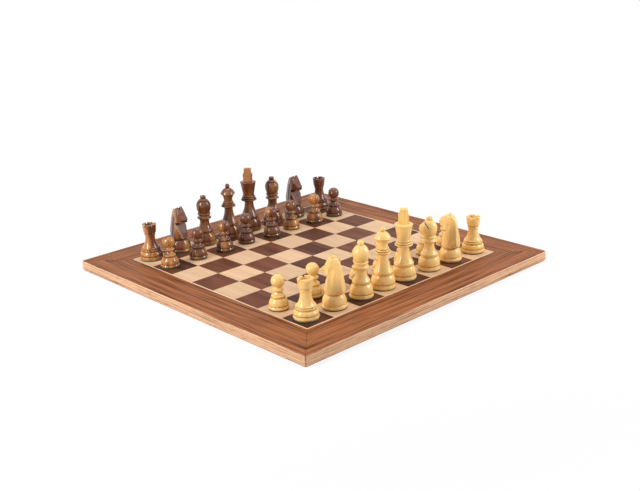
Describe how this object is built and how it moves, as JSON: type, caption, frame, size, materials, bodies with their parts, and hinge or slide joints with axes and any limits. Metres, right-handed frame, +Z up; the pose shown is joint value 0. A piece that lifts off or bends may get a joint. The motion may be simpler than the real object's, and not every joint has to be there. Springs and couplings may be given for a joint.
{
  "type": "chess board with chessmen",
  "caption": "Flat veneered wooden chess board with a broad mitred border and a thin inlay line, set out with turned, glossy light and dark chessmen that lift off.",
  "frame": {"origin": "middle of the board's underside, on the table", "axes": "+Z up; +X along the files from a to h; +Y from the light player's side to the dark player's side"},
  "size_m": [0.4, 0.4, 0.0947],
  "materials": {
    "core": "matte",
    "backing": "satin",
    "border": "satin",
    "inlay": "satin",
    "dark_square": "satin",
    "light_square": "satin",
    "edge": "satin",
    "light_man": "gloss",
    "dark_man": "gloss",
    "light_finial": "matte",
    "dark_finial": "matte",
    "felt": "felt"
  },
  "bodies": {
    "board": {"core_panel": "core", "backing_veneer": "backing", "border_veneers": "border", "inlay_lines": "inlay", "dark_squares": "dark_square", "light_squares": "light_square", "edge_lipping_front": "edge", "edge_lipping_right": "edge", "edge_lipping_back": "edge", "edge_lipping_left": "edge"},
    "light_pawn_a": {"light_pawn_a": "light_man"},
    "light_pawn_b": {"light_pawn_b": "light_man"},
    "light_pawn_c": {"light_pawn_c": "light_man"},
    "light_pawn_d": {"light_pawn_d": "light_man"},
    "light_pawn_e": {"light_pawn_e": "light_man"},
    "light_pawn_f": {"light_pawn_f": "light_man"},
    "light_pawn_g": {"light_pawn_g": "light_man"},
    "light_pawn_h": {"light_pawn_h": "light_man"},
    "light_rook_a": {"light_rook_a": "light_man", "light_rook_a_felt": "felt"},
    "light_knight_b": {"light_knight_b": "light_man", "light_knight_b_felt": "felt"},
    "light_bishop_c": {"light_bishop_c": "light_man", "light_bishop_c_felt": "felt"},
    "light_queen": {"light_queen": "light_man", "light_queen_felt": "felt"},
    "light_king": {"light_king": "light_man", "light_king_felt": "felt", "light_king_finial": "light_finial"},
    "light_bishop_f": {"light_bishop_f": "light_man", "light_bishop_f_felt": "felt"},
    "light_knight_g": {"light_knight_g": "light_man", "light_knight_g_felt": "felt"},
    "light_rook_h": {"light_rook_h": "light_man", "light_rook_h_felt": "felt"},
    "dark_pawn_a": {"dark_pawn_a": "dark_man"},
    "dark_pawn_b": {"dark_pawn_b": "dark_man"},
    "dark_pawn_c": {"dark_pawn_c": "dark_man"},
    "dark_pawn_d": {"dark_pawn_d": "dark_man"},
    "dark_pawn_e": {"dark_pawn_e": "dark_man"},
    "dark_pawn_f": {"dark_pawn_f": "dark_man"},
    "dark_pawn_g": {"dark_pawn_g": "dark_man"},
    "dark_pawn_h": {"dark_pawn_h": "dark_man"},
    "dark_rook_a": {"dark_rook_a": "dark_man", "dark_rook_a_felt": "felt"},
    "dark_knight_b": {"dark_knight_b": "dark_man", "dark_knight_b_felt": "felt"},
    "dark_bishop_c": {"dark_bishop_c": "dark_man", "dark_bishop_c_felt": "felt"},
    "dark_queen": {"dark_queen": "dark_man", "dark_queen_felt": "felt"},
    "dark_king": {"dark_king": "dark_man", "dark_king_felt": "felt", "dark_king_finial": "dark_finial"},
    "dark_bishop_f": {"dark_bishop_f": "dark_man", "dark_bishop_f_felt": "felt"},
    "dark_knight_g": {"dark_knight_g": "dark_man", "dark_knight_g_felt": "felt"},
    "dark_rook_h": {"dark_rook_h": "dark_man", "dark_rook_h_felt": "felt"}
  },
  "joints": [
    {"name": "light_pawn_a_lift", "type": "slide", "parent": "board", "child": "light_pawn_a", "axis": [0, 0, 1], "range_m": [0, 0.1]},
    {"name": "light_pawn_b_lift", "type": "slide", "parent": "board", "child": "light_pawn_b", "axis": [0, 0, 1], "range_m": [0, 0.1]},
    {"name": "light_pawn_c_lift", "type": "slide", "parent": "board", "child": "light_pawn_c", "axis": [0, 0, 1], "range_m": [0, 0.1]},
    {"name": "light_pawn_d_lift", "type": "slide", "parent": "board", "child": "light_pawn_d", "axis": [0, 0, 1], "range_m": [0, 0.1]},
    {"name": "light_pawn_e_lift", "type": "slide", "parent": "board", "child": "light_pawn_e", "axis": [0, 0, 1], "range_m": [0, 0.1]},
    {"name": "light_pawn_f_lift", "type": "slide", "parent": "board", "child": "light_pawn_f", "axis": [0, 0, 1], "range_m": [0, 0.1]},
    {"name": "light_pawn_g_lift", "type": "slide", "parent": "board", "child": "light_pawn_g", "axis": [0, 0, 1], "range_m": [0, 0.1]},
    {"name": "light_pawn_h_lift", "type": "slide", "parent": "board", "child": "light_pawn_h", "axis": [0, 0, 1], "range_m": [0, 0.1]},
    {"name": "light_rook_a_lift", "type": "slide", "parent": "board", "child": "light_rook_a", "axis": [0, 0, 1], "range_m": [0, 0.1]},
    {"name": "light_knight_b_lift", "type": "slide", "parent": "board", "child": "light_knight_b", "axis": [0, 0, 1], "range_m": [0, 0.1]},
    {"name": "light_bishop_c_lift", "type": "slide", "parent": "board", "child": "light_bishop_c", "axis": [0, 0, 1], "range_m": [0, 0.1]},
    {"name": "light_queen_lift", "type": "slide", "parent": "board", "child": "light_queen", "axis": [0, 0, 1], "range_m": [0, 0.1]},
    {"name": "light_king_lift", "type": "slide", "parent": "board", "child": "light_king", "axis": [0, 0, 1], "range_m": [0, 0.1]},
    {"name": "light_bishop_f_lift", "type": "slide", "parent": "board", "child": "light_bishop_f", "axis": [0, 0, 1], "range_m": [0, 0.1]},
    {"name": "light_knight_g_lift", "type": "slide", "parent": "board", "child": "light_knight_g", "axis": [0, 0, 1], "range_m": [0, 0.1]},
    {"name": "light_rook_h_lift", "type": "slide", "parent": "board", "child": "light_rook_h", "axis": [0, 0, 1], "range_m": [0, 0.1]},
    {"name": "dark_pawn_a_lift", "type": "slide", "parent": "board", "child": "dark_pawn_a", "axis": [0, 0, 1], "range_m": [0, 0.1]},
    {"name": "dark_pawn_b_lift", "type": "slide", "parent": "board", "child": "dark_pawn_b", "axis": [0, 0, 1], "range_m": [0, 0.1]},
    {"name": "dark_pawn_c_lift", "type": "slide", "parent": "board", "child": "dark_pawn_c", "axis": [0, 0, 1], "range_m": [0, 0.1]},
    {"name": "dark_pawn_d_lift", "type": "slide", "parent": "board", "child": "dark_pawn_d", "axis": [0, 0, 1], "range_m": [0, 0.1]},
    {"name": "dark_pawn_e_lift", "type": "slide", "parent": "board", "child": "dark_pawn_e", "axis": [0, 0, 1], "range_m": [0, 0.1]},
    {"name": "dark_pawn_f_lift", "type": "slide", "parent": "board", "child": "dark_pawn_f", "axis": [0, 0, 1], "range_m": [0, 0.1]},
    {"name": "dark_pawn_g_lift", "type": "slide", "parent": "board", "child": "dark_pawn_g", "axis": [0, 0, 1], "range_m": [0, 0.1]},
    {"name": "dark_pawn_h_lift", "type": "slide", "parent": "board", "child": "dark_pawn_h", "axis": [0, 0, 1], "range_m": [0, 0.1]},
    {"name": "dark_rook_a_lift", "type": "slide", "parent": "board", "child": "dark_rook_a", "axis": [0, 0, 1], "range_m": [0, 0.1]},
    {"name": "dark_knight_b_lift", "type": "slide", "parent": "board", "child": "dark_knight_b", "axis": [0, 0, 1], "range_m": [0, 0.1]},
    {"name": "dark_bishop_c_lift", "type": "slide", "parent": "board", "child": "dark_bishop_c", "axis": [0, 0, 1], "range_m": [0, 0.1]},
    {"name": "dark_queen_lift", "type": "slide", "parent": "board", "child": "dark_queen", "axis": [0, 0, 1], "range_m": [0, 0.1]},
    {"name": "dark_king_lift", "type": "slide", "parent": "board", "child": "dark_king", "axis": [0, 0, 1], "range_m": [0, 0.1]},
    {"name": "dark_bishop_f_lift", "type": "slide", "parent": "board", "child": "dark_bishop_f", "axis": [0, 0, 1], "range_m": [0, 0.1]},
    {"name": "dark_knight_g_lift", "type": "slide", "parent": "board", "child": "dark_knight_g", "axis": [0, 0, 1], "range_m": [0, 0.1]},
    {"name": "dark_rook_h_lift", "type": "slide", "parent": "board", "child": "dark_rook_h", "axis": [0, 0, 1], "range_m": [0, 0.1]}
  ]
}
